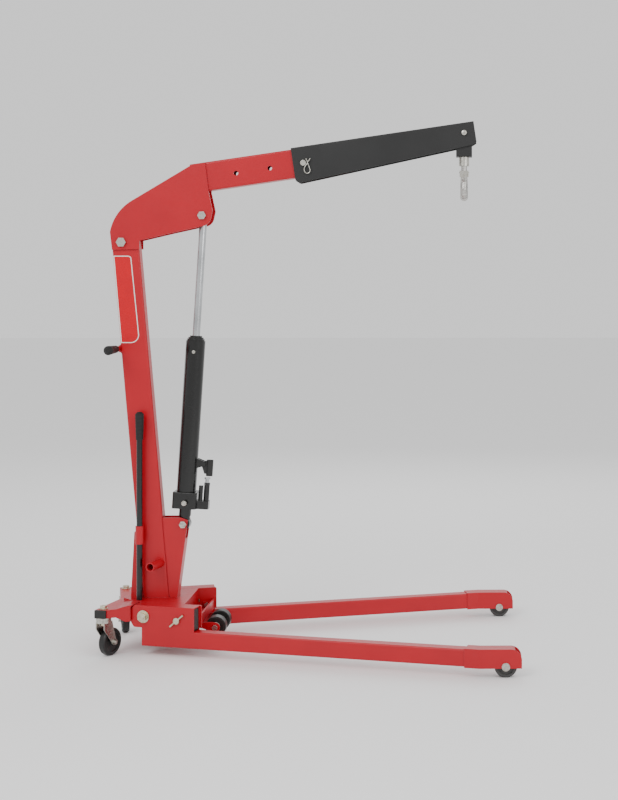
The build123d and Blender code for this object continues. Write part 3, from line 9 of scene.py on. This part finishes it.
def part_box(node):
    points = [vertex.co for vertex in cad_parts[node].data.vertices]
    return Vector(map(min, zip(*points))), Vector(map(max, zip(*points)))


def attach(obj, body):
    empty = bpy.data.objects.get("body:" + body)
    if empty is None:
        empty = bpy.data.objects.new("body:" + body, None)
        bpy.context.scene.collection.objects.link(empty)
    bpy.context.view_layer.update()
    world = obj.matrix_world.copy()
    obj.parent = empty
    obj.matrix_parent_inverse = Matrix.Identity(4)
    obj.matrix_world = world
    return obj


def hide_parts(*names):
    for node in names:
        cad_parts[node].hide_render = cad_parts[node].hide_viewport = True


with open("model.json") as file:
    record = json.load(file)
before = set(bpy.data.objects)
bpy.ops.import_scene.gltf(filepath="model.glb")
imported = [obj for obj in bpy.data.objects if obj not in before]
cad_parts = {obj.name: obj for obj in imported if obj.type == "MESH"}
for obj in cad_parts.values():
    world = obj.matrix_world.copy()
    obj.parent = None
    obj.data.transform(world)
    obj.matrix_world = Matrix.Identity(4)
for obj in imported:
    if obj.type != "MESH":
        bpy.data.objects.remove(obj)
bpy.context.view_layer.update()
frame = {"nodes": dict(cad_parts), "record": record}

MM = 0.001
SIDES = (("left", 1), ("right", -1))
MAST_LEAN = math.radians(5.02)
MAST_HALF_DEPTH = 0.05


def corners(name):
    """A node's lowest and highest corners, as vectors."""
    low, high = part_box(name)
    return Vector(low), Vector(high)


def middle(name):
    low, high = corners(name)
    return (low + high) / 2


def joint(name):
    return next(entry for entry in frame["record"]["behaviour"]["joints"] if entry["name"] == name)


# ---------------------------------------------------------------- materials

def linear(code):
    """An sRGB hex colour as linear red, green, blue and alpha."""
    parts = [int(code[i:i + 2], 16) / 255 for i in (0, 2, 4)]
    return (*[p / 12.92 if p <= 0.04045 else ((p + 0.055) / 1.055) ** 2.4 for p in parts], 1.0)


def add_node(tree, kind, inputs=None, **settings):
    """Adds a node, sets its properties, and fills or links its inputs."""
    node = tree.nodes.new(kind)
    for key, value in settings.items():
        setattr(node, key, value)
    for key, value in (inputs or {}).items():
        if isinstance(value, bpy.types.NodeSocket):
            tree.links.new(value, node.inputs[key])
        else:
            node.inputs[key].default_value = value
    return node


def new_material(name, **shader):
    """A material whose shader has these constants on its own sockets."""
    material = bpy.data.materials.new(name)
    material.use_nodes = True
    tree = material.node_tree
    principled = tree.nodes["Principled BSDF"]
    for key, value in shader.items():
        principled.inputs[key.replace("_", " ")].default_value = value
    place = add_node(tree, "ShaderNodeTexCoord").outputs["Object"]
    return material, tree, principled, place


def noise(tree, place, size_mm, detail=3.0, roughness=0.55):
    """Noise whose features are about this many millimetres across."""
    return add_node(tree, "ShaderNodeTexNoise", {
        "Vector": place, "Scale": 1 / (size_mm * MM), "Detail": detail, "Roughness": roughness,
    }).outputs["Fac"]


def spread(tree, value, low, high, start=0.3, end=0.7):
    """Maps a pattern onto a range of plain numbers."""
    return add_node(tree, "ShaderNodeMapRange", {
        "Value": value, "From Min": start, "From Max": end, "To Min": low, "To Max": high,
    }).outputs["Result"]


def blend_colours(tree, amount, first, second):
    """Mixes two colours, each a hex code or a socket."""
    mix = add_node(tree, "ShaderNodeMix", {"Factor": amount}, data_type="RGBA")
    for index, colour in ((6, first), (7, second)):
        if isinstance(colour, str):
            mix.inputs[index].default_value = linear(colour)
        else:
            tree.links.new(colour, mix.inputs[index])
    return mix.outputs[2]


def edge_highlight_and_wear(tree, radius_mm):
    """A rounded normal, and a mask that is 1 along edges where the surface turns; the finishes lighten their colour
    by this mask, a painted highlight along the rounded edges.
    """
    rounded = add_node(tree, "ShaderNodeBevel", {"Radius": radius_mm * MM}, samples=6).outputs["Normal"]
    true = add_node(tree, "ShaderNodeNewGeometry").outputs["Normal"]
    turn = add_node(tree, "ShaderNodeVectorMath", {0: rounded, 1: true},
                    operation="DOT_PRODUCT").outputs["Value"]
    mask = spread(tree, turn, 1.0, 0.0, 0.78, 0.985)
    return rounded, mask


def bump(tree, height, strength, distance_mm, normal=None):
    inputs = {"Height": height, "Strength": strength, "Distance": distance_mm * MM}
    if normal is not None:
        inputs["Normal"] = normal
    return add_node(tree, "ShaderNodeBump", inputs).outputs["Normal"]


def painted_steel(name, colour, shade, edge, roughness, peel_mm, coat):
    """Sprayed paint over welded steel: a faint orange peel, uneven film, and lighter edges, partly where the film
    thins and partly a painted highlight along the rounded edges.
    """
    material, tree, principled, place = new_material(
        name, Coat_Weight=coat, Coat_Roughness=0.12, Specular_IOR_Level=0.35)
    rounded, rim = edge_highlight_and_wear(tree, 1.6)
    film = noise(tree, place, 220, 4.0)
    scuff = noise(tree, place, 14, 6.0, 0.7)
    body = blend_colours(tree, spread(tree, film, 0.0, 1.0), colour, shade)
    # Edge colour by the edge mask and scuff noise: partly thinned film, partly painted highlight.
    thin_film_and_highlight = add_node(tree, "ShaderNodeMath", {0: rim, 1: spread(tree, scuff, 0.15, 0.75)},
                       operation="MULTIPLY").outputs[0]
    tree.links.new(blend_colours(tree, thin_film_and_highlight, body, edge), principled.inputs["Base Color"])
    tree.links.new(spread(tree, scuff, roughness - 0.05, roughness + 0.09), principled.inputs["Roughness"])
    peel = noise(tree, place, peel_mm, 1.5)
    tree.links.new(bump(tree, peel, 0.16, 0.08, rounded), principled.inputs["Normal"])
    return material


def plated_steel(name, colour, shade, roughness, grain_mm):
    """Bright zinc over turned steel: cloudy passivation, fine turning marks, and rounded rims with a painted
    highlight.
    """
    material, tree, principled, place = new_material(name, Metallic=1.0)
    rounded, rim = edge_highlight_and_wear(tree, 0.7)
    cloud = noise(tree, place, 9, 4.0)
    body = blend_colours(tree, spread(tree, cloud, 0.0, 1.0), colour, shade)
    # Rims blended towards near white: a painted highlight along the rounded edges.
    tree.links.new(blend_colours(tree, rim, body, "E9E8E2"), principled.inputs["Base Color"])
    tree.links.new(spread(tree, cloud, roughness - 0.08, roughness + 0.12), principled.inputs["Roughness"])
    marks = noise(tree, place, grain_mm, 2.0)
    tree.links.new(bump(tree, marks, 0.2, 0.05, rounded), principled.inputs["Normal"])
    return material


def chromed_rod():
    """Ground and hard-chromed rod: near mirror, with a fine film of oil and lapping lines round it."""
    material, tree, principled, place = new_material("hard_chromed_rod", Metallic=1.0)
    film = noise(tree, place, 60, 3.0)
    colour = blend_colours(tree, spread(tree, film, 0, 1), "D2D4D6", "A9ABAD")
    tree.links.new(colour, principled.inputs["Base Color"])
    tree.links.new(spread(tree, film, 0.14, 0.3), principled.inputs["Roughness"])
    # A wave repeats every 0.314 / Scale metres, so these lapping lines are 0.6 mm apart.
    lines = add_node(tree, "ShaderNodeTexWave", {"Vector": place, "Scale": 500.0, "Distortion": 1.5},
                     bands_direction="Z").outputs["Fac"]
    tree.links.new(bump(tree, lines, 0.08, 0.02), principled.inputs["Normal"])
    return material


def forged_steel():
    """Drop-forged and plated hook: soft hammer-scale hollows under a bright finish."""
    material, tree, principled, place = new_material("forged_hook_steel", Metallic=1.0)
    scale = noise(tree, place, 7, 5.0, 0.6)
    colour = blend_colours(tree, spread(tree, scale, 0, 1), "D9D7D2", "8B8986")
    tree.links.new(colour, principled.inputs["Base Color"])
    tree.links.new(spread(tree, scale, 0.2, 0.42), principled.inputs["Roughness"])
    tree.links.new(bump(tree, scale, 0.5, 0.4), principled.inputs["Normal"])
    return material


def grip_rubber(name, direction):
    """Moulded PVC grip: matt black, ribbed every 14 mm along its length."""
    material, tree, principled, place = new_material(name, Specular_IOR_Level=0.4)
    ribs = add_node(tree, "ShaderNodeTexWave", {"Vector": place, "Scale": 22.0, "Distortion": 0.0},
                    bands_direction=direction, wave_profile="SIN").outputs["Fac"]
    grime = noise(tree, place, 18, 5.0)
    colour = blend_colours(tree, spread(tree, grime, 0, 1), "0D0D0D", "1A1918")
    tree.links.new(colour, principled.inputs["Base Color"])
    tree.links.new(spread(tree, grime, 0.5, 0.72), principled.inputs["Roughness"])
    tree.links.new(bump(tree, ribs, 0.7, 1.0), principled.inputs["Normal"])
    return material


def moulded(name, colour, shade, roughness, grain_mm):
    """Injection-moulded nylon or polypropylene: a faint spark-eroded grain and lighter rims, partly scuffs and partly
    a painted highlight.
    """
    material, tree, principled, place = new_material(name, Specular_IOR_Level=0.5)
    rounded, rim = edge_highlight_and_wear(tree, 1.2)
    dust = noise(tree, place, 22, 5.0)
    body = blend_colours(tree, spread(tree, dust, 0, 1), colour, shade)
    # Rims lightened towards grey: partly scuffing, partly painted highlight along the rounded edges.
    scuff_and_highlight = add_node(tree, "ShaderNodeMath", {0: rim, 1: 0.35}, operation="MULTIPLY").outputs[0]
    tree.links.new(blend_colours(tree, scuff_and_highlight, body, "77756F"), principled.inputs["Base Color"])
    tree.links.new(spread(tree, dust, roughness - 0.08, roughness + 0.12), principled.inputs["Roughness"])
    grain = noise(tree, place, grain_mm, 2.0)
    tree.links.new(bump(tree, grain, 0.25, 0.15, rounded), principled.inputs["Normal"])
    return material


def printed_vinyl(name, colour, shade):
    """Glossy printed vinyl: smooth, with a little dust."""
    material, tree, principled, place = new_material(name, Specular_IOR_Level=0.3)
    dust = noise(tree, place, 40, 4.0)
    tree.links.new(blend_colours(tree, spread(tree, dust, 0, 1), colour, shade), principled.inputs["Base Color"])
    tree.links.new(spread(tree, dust, 0.22, 0.34), principled.inputs["Roughness"])
    return material


# The third colour of each painted finish is its edge colour: partly thin film, partly painted highlight.
RED = painted_steel("red_gloss_enamel", "B4041A", "A80318", "C24A55", 0.34, 2.2, 0.1)
GREY = painted_steel("black_powder_coat", "1B1B1B", "232323", "4A4A49", 0.46, 1.4, 0.05)
BLACK = painted_steel("black_gloss_enamel", "080808", "0E0E0D", "3A3938", 0.22, 2.0, 0.3)
ZINC = plated_steel("bright_zinc_plate", "CFCDC6", "A29F95", 0.3, 0.8)
YELLOW_ZINC = plated_steel("clear_passivated_zinc", "D8D2BE", "B0A787", 0.32, 0.9)
CHROME = chromed_rod()
FORGED = forged_steel()
GRIP_ACROSS = grip_rubber("ribbed_grip_across", "Y")
GRIP_UPRIGHT = grip_rubber("ribbed_grip_upright", "Z")
NYLON = moulded("dark_grey_nylon", "333333", "403F3E", 0.5, 1.6)
TYRE = moulded("black_rubber_tread", "0C0C0C", "161615", 0.38, 1.2)
CAP = moulded("black_moulded_cap", "0E0E0E", "171716", 0.45, 1.0)
DECAL_RED = printed_vinyl("red_vinyl", "C8041A", "BE0318")
DECAL_WHITE = printed_vinyl("white_vinyl", "F1F0EC", "E4E2DC")

FINISHES = {
    RED: ("mast_tube", "ram_bracket", "mast_rear_gusset", "base_top_plate", "base_side_plate_left",
          "base_side_plate_right", "rear_arms", "arm_webs", "push_bar", "handle_sleeve", "leg_rests",
          "roller_bracket", "leg_tube_left", "leg_tube_right", "front_bracket_left", "front_bracket_right",
          "boom_cheek_left", "boom_cheek_right", "boom_web", "boom_tube"),
    GREY: ("boom_extension", "hook_block", "pump_lever"),
    BLACK: ("ram_cylinder", "ram_gland", "pump_block", "ram_lower_eye", "pump_handle_rod"),
    ZINC: ("front_axle_left", "front_axle_right", "boom_bolts", "extension_pin", "hook_bolt", "hook_collar",
           "hook_latch", "release_valve", "mast_pivot_bush", "ram_lower_bolt", "caster_fork_left",
           "caster_fork_right", "caster_top_races", "roller_axle", "roller_bracket_bolts"),
    YELLOW_ZINC: ("leg_pivot_bolts", "caster_stem_bolts", "lock_pin_left", "lock_pin_right"),
    CHROME: ("piston_rod", "pump_plunger"),
    FORGED: ("hook",),
    GRIP_ACROSS: ("push_bar_grips",),
    GRIP_UPRIGHT: ("pump_handle_grip",),
    NYLON: ("front_wheel_left", "front_wheel_right"),
    TYRE: ("caster_wheel_left", "caster_wheel_right", "transport_roller_left", "transport_roller_right"),
    CAP: ("arm_end_caps",),
}


def finish_nodes():
    """Gives each frame node the finish of the part it is."""
    for material, names in FINISHES.items():
        for name in names:
            mesh = frame["nodes"][name].data
            mesh.materials.clear()
            mesh.materials.append(material)


# ---------------------------------------------------------------- pieces

def make_piece(name, shape, material, body, smooth=True):
    """Turns a finished bmesh into a piece that rides on a body."""
    mesh = bpy.data.meshes.new(name)
    shape.to_mesh(mesh)
    shape.free()
    mesh.materials.append(material)
    piece = bpy.data.objects.new(name, mesh)
    bpy.context.scene.collection.objects.link(piece)
    if smooth:
        for face in mesh.polygons:
            face.use_smooth = True
    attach(piece, body)
    return piece


def weld_seam(name, runs, body, radius_mm=2.4):
    """A row of overlapping weld ripples along each straight run."""
    shape = bmesh.new()
    for start, end in runs:
        start, end = Vector(start), Vector(end)
        run = end - start
        count = max(3, round(run.length / (radius_mm * 1.3 * MM)))
        turn = run.to_track_quat("X", "Z").to_matrix().to_4x4()
        squash = Matrix.Diagonal((0.8, 1.0, 1.0, 1.0))
        for step in range(count + 1):
            place = Matrix.Translation(start + run * step / count)
            bmesh.ops.create_icosphere(shape, subdivisions=1, radius=radius_mm * MM, matrix=place @ turn @ squash)
    return make_piece(name, shape, RED, body)


def wire(name, points, radius_mm, material, body):
    """A bent wire through a line of points, closed at both ends."""
    curve = bpy.data.curves.new(name, "CURVE")
    curve.dimensions = "3D"
    curve.bevel_depth = radius_mm * MM
    curve.bevel_resolution = 3
    curve.use_fill_caps = True
    spline = curve.splines.new("NURBS")
    spline.points.add(len(points) - 1)
    for point, place in zip(spline.points, points):
        point.co = (*place, 1.0)
    spline.order_u = 3
    spline.use_endpoint_u = True
    spline.resolution_u = 8
    bent = bpy.data.objects.new(name + "_line", curve)
    shape = bmesh.new()
    shape.from_mesh(bent.to_mesh())
    bent.to_mesh_clear()
    bpy.data.objects.remove(bent)
    return make_piece(name, shape, material, body)


def spring_clip():
    """The hairpin clip through the extension pin: one straight leg, a wavy leg and a round bow."""
    low, high = corners("extension_pin")
    face = low.y + 4 * MM
    x = (low.x + high.x) / 2 + 13 * MM
    z = (low.z + high.z) / 2
    outline = ((-3, 16), (4, 4), (3, -2), (-7, -14), (-10, -27), (-5, -37), (3, -40), (11, -36), (14, -27),
               (9, -14), (5, -4), (2, 3), (9, 8), (13, 17))
    points = [Vector((x + u * MM, face, z + v * MM)) for u, v in outline]
    clip = wire("hairpin_clip", points, 2.0, ZINC, "extension_lock")
    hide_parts("extension_clip")


def mast_edge(height, face):
    """Where the mast's rear (-1), middle (0) or front (1) face stands at a height, in X."""
    low, high = corners("mast_tube")
    half = MAST_HALF_DEPTH / math.cos(MAST_LEAN)
    foot = high.x - half
    return foot - math.tan(MAST_LEAN) * (height - low.z) + face * half


def badge_outline(face):
    """The badge's edge, upright at its rear and rounded at its front corners."""
    top, foot, reach, rear = 1.467, 1.14, 0.070, 0.003
    outline = [Vector((mast_edge(height, -1) + rear, face, height)) for height in (top, foot)]
    for height, radius, start in ((foot, 0.03, -math.pi / 2), (top, 0.012, 0.0)):
        inward = radius if height == foot else -radius
        centre = Vector((mast_edge(height, -1) + reach - radius, face, height + inward))
        for step in range(7):
            angle = start + step * math.pi / 12
            outline.append(centre + Vector((radius * math.cos(angle), 0, radius * math.sin(angle))))
    return outline


def badge_sheet(name, face, inset, material):
    """A thin vinyl sheet with the badge's outline, drawn in by an inset."""
    shape = bmesh.new()
    panel = shape.faces.new([shape.verts.new(point) for point in badge_outline(face)])
    shape.normal_update()
    if inset:
        rim = bmesh.ops.inset_individual(shape, faces=[panel], thickness=inset, use_even_offset=True)["faces"]
        bmesh.ops.delete(shape, geom=rim, context="FACES")
    for flat in shape.faces:
        flat.normal_update()
        if flat.normal.y * face < 0:
            flat.normal_flip()
    sheet = make_piece(name, shape, material, "frame", smooth=False)
    film = sheet.modifiers.new("film", "SOLIDIFY")
    film.thickness = 0.5 * MM
    film.offset = -1.0


def mast_badges():
    """A plain red panel with a white rim on each side of the mast's head, with no lettering."""
    side = corners("mast_tube")[1].y
    for name, out in SIDES:
        badge_sheet(f"mast_badge_rim_{name}", out * (side + 0.6 * MM), 0, DECAL_WHITE)
        badge_sheet(f"mast_badge_{name}", out * (side + 1.2 * MM), 3.2 * MM, DECAL_RED)


def turned(name, centre, profile, material, body):
    """A part turned about a line across the crane; the profile is radius and distance along, in millimetres."""
    shape = bmesh.new()
    verts = [shape.verts.new((centre.x, centre.y + along * MM, centre.z + radius * MM)) for radius, along in profile]
    edges = [shape.edges.new(pair) for pair in zip(verts, verts[1:])]
    bmesh.ops.spin(shape, geom=verts + edges, cent=centre, axis=(0, 1, 0), angle=math.tau, steps=40,
                   use_merge=True, use_duplicate=False)
    bmesh.ops.remove_doubles(shape, verts=shape.verts, dist=0.01 * MM)
    bmesh.ops.recalc_face_normals(shape, faces=shape.faces)
    piece = make_piece(name, shape, material, body)
    piece.data.set_sharp_from_angle(angle=math.radians(35))
    return piece


def hook_pin():
    """The round-headed pin that carries the hook's block, riveted at both ends."""
    low, high = corners("hook_bolt")
    half = (high.y - low.y) / 2 / MM
    channel = corners("boom_extension")[1].y / MM
    seat, shank_r, head_r = channel + 0.2, 7.8, 10
    profile = [(0, -half), (7.5, -half), (9.5, 1.2 - half), (head_r, 3 - half), (head_r, -seat), (shank_r, -seat),
               (shank_r, seat), (head_r, seat), (head_r, half - 3), (9.5, half - 1.2), (7.5, half), (0, half)]
    pin = turned("hook_pin", (low + high) / 2, profile, ZINC, "extension")
    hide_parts("hook_bolt")


def mast_seams(node, face):
    """The upright seams down both sides of a plate that stands against the mast's front or rear."""
    low, high = corners(node)
    foot, head = low.z + 0.01, high.z - 0.002
    beside = corners("mast_tube")[1].y - 1 * MM
    return [((mast_edge(foot, face), out * beside, foot), (mast_edge(head, face), out * beside, head))
            for _, out in SIDES]


def weld_everything():
    """The weld ripples where the frame's plates and tubes meet."""
    mast_low, mast_high = corners("mast_tube")
    foot, side = mast_low.z + 1 * MM, mast_high.y
    front, rear = mast_edge(foot, 1) - 0.008, mast_edge(foot, -1) + 0.008
    weld_seam("weld_mast_foot", [((rear, out * side, foot), (front, out * side, foot)) for _, out in SIDES],
              "frame", 3.0)
    bracket_low, bracket_high = corners("ram_bracket")
    start, end, beside = bracket_low.x + 0.012, bracket_high.x - 0.04, side + 0.5 * MM
    weld_seam("weld_ram_bracket", mast_seams("ram_bracket", 1) + [
        ((start, out * beside, foot), (end, out * beside, foot)) for _, out in SIDES], "frame", 2.4)
    weld_seam("weld_rear_gusset", mast_seams("mast_rear_gusset", -1), "frame", 2.4)
    tube_side = corners("boom_tube")[1].y
    cheek = corners("boom_cheek_right")[1]
    slope, length = math.radians(6.9), 0.102
    down = Vector((math.sin(slope), 0, -math.cos(slope)))
    for name, out in SIDES:
        top = Vector((cheek.x - 0.0282, out * tube_side, cheek.z - 0.003))
        weld_seam(f"weld_cheek_{name}", [(top, top + down * length)], "boom", 2.6)
    bar_low, bar_high = corners("push_bar")
    heights = [(bar_low.z + bar_high.z) / 2 + offset for offset in (-0.016, 0.016)]
    weld_seam("weld_push_bar", [
        ((mast_edge(height, -1), -0.02, height), (mast_edge(height, -1), 0.02, height)) for height in heights
    ], "frame", 2.2)


def cap_mouth_shade_blocks():
    """A black block just inside the open front of each leg's cap: painted shade standing in for the dark inside of
    the open cap.
    """
    for name, side in SIDES:
        hinge = joint(f"leg_fold_{name}")
        pivot = Vector(hinge["pos_m"])
        across = -Vector(hinge["axis"]) * side
        along = Vector((across.y, -across.x, 0)) * side
        bottom, top = corners(f"leg_tube_{name}")[0].z + 0.0625, corners(f"leg_tube_{name}")[1].z - 0.0055
        centre = pivot + along * 0.188
        centre.z = (bottom + top) / 2
        turn = Matrix((along, across, Vector((0, 0, 1)))).transposed().to_4x4()
        size = Matrix.Diagonal((0.016, 0.040, top - bottom, 1.0))
        shape = bmesh.new()
        bmesh.ops.create_cube(shape, size=1.0, matrix=Matrix.Translation(centre) @ turn @ size)
        front = max(shape.faces, key=lambda face: (face.calc_center_median() - centre).dot(along))
        bmesh.ops.inset_individual(shape, faces=[front], thickness=4 * MM, depth=-3 * MM, use_even_offset=True)
        bmesh.ops.bevel(shape, geom=shape.edges[:], offset=0.8 * MM, segments=2, profile=0.5, affect="EDGES",
                        material=-1)
        # Dark block as painted shade in the cap's open mouth.
        make_piece(f"cap_mouth_shade_{name}", shape, CAP, f"leg_{name}", smooth=False)


def roller_rings():
    """A bright ring pressed round each end of the two transport rollers' hubs."""
    for name, side in SIDES:
        low, high = corners(f"transport_roller_{name}")
        for end, out in ((low.y, -1), (high.y, 1)):
            centre = Vector(((low.x + high.x) / 2, end, (low.z + high.z) / 2))
            profile = [(12.2, -0.4 * out), (12.2, 0.15 * out), (16, 0.15 * out), (17, -0.4 * out), (12.2, -0.4 * out)]
            tag = "outer" if out == side else "inner"
            turned(f"roller_ring_{name}_{tag}", centre, profile, ZINC, f"base_roller_{name}")


def filler_plug():
    """The hex filler plug on the cylinder, just under its gland."""
    axis = (middle("ram_gland") - middle("pump_block")).normalized()
    below_gland, plug_out, plug_r, plug_depth = 0.05, 0.0375, 0.007, 0.005
    centre = middle("ram_gland") - axis * below_gland
    shape = bmesh.new()
    place = Matrix.Translation((centre.x, -plug_out, centre.z)) @ Matrix.Rotation(math.pi / 2, 4, "X")
    bmesh.ops.create_cone(shape, cap_ends=True, segments=6, radius1=plug_r, radius2=plug_r, depth=plug_depth,
                          matrix=place)
    bmesh.ops.bevel(shape, geom=shape.edges[:], offset=0.6 * MM, segments=2, profile=0.5, affect="EDGES",
                    material=-1)
    make_piece("cylinder_filler_plug", shape, ZINC, "ram", smooth=False)


finish_nodes()
spring_clip()
mast_badges()
hook_pin()
weld_everything()
cap_mouth_shade_blocks()
roller_rings()
filler_plug()


# ---------------------------------------------------------------- studio

def studio():
    """A pale floor, soft light from all round, and a level camera above the object's middle."""
    shape = bmesh.new()
    bmesh.ops.create_grid(shape, x_segments=1, y_segments=1, size=30)
    mesh = bpy.data.meshes.new("studio_floor")
    shape.to_mesh(mesh)
    shape.free()
    floor = bpy.data.objects.new("studio_floor", mesh)
    bpy.context.scene.collection.objects.link(floor)
    material, tree, principled, place = new_material("pale_floor", Roughness=0.9, Specular_IOR_Level=0.1)
    principled.inputs["Base Color"].default_value = linear("F6F6F6")
    mesh.materials.append(material)

    world = bpy.data.worlds.new("studio_world")
    world.use_nodes = True
    world.node_tree.nodes["Background"].inputs["Color"].default_value = linear("FFFFFF")
    world.node_tree.nodes["Background"].inputs["Strength"].default_value = 1.0
    bpy.context.scene.world = world

    for name, place, target, size, power in (
        ("key_light", (-2.2, -4.0, 4.2), (0, 0, 0.9), 2.5, 120),
        ("fill_light", (3.4, -3.6, 2.6), (0.2, 0, 0.9), 3.0, 60),
        ("back_light", (0.5, 4.2, 3.6), (0, 0, 1.0), 3.0, 60),
    ):
        light = bpy.data.lights.new(name, "AREA")
        light.size = size
        light.energy = power
        lamp = bpy.data.objects.new(name, light)
        lamp.location = place
        lamp.rotation_euler = (Vector(target) - Vector(place)).to_track_quat("-Z", "Y").to_euler()
        bpy.context.scene.collection.objects.link(lamp)

    view = bpy.data.cameras.new("camera")
    view.lens = 63.95
    view.sensor_width = 36
    view.shift_x = -0.2238
    view.shift_y = -0.1463
    camera = bpy.data.objects.new("camera", view)
    camera.location = (0.5738, -5.3808, 1.365)
    camera.rotation_euler = (math.radians(90), 0, math.radians(-1))
    bpy.context.scene.collection.objects.link(camera)
    bpy.context.scene.camera = camera


studio()
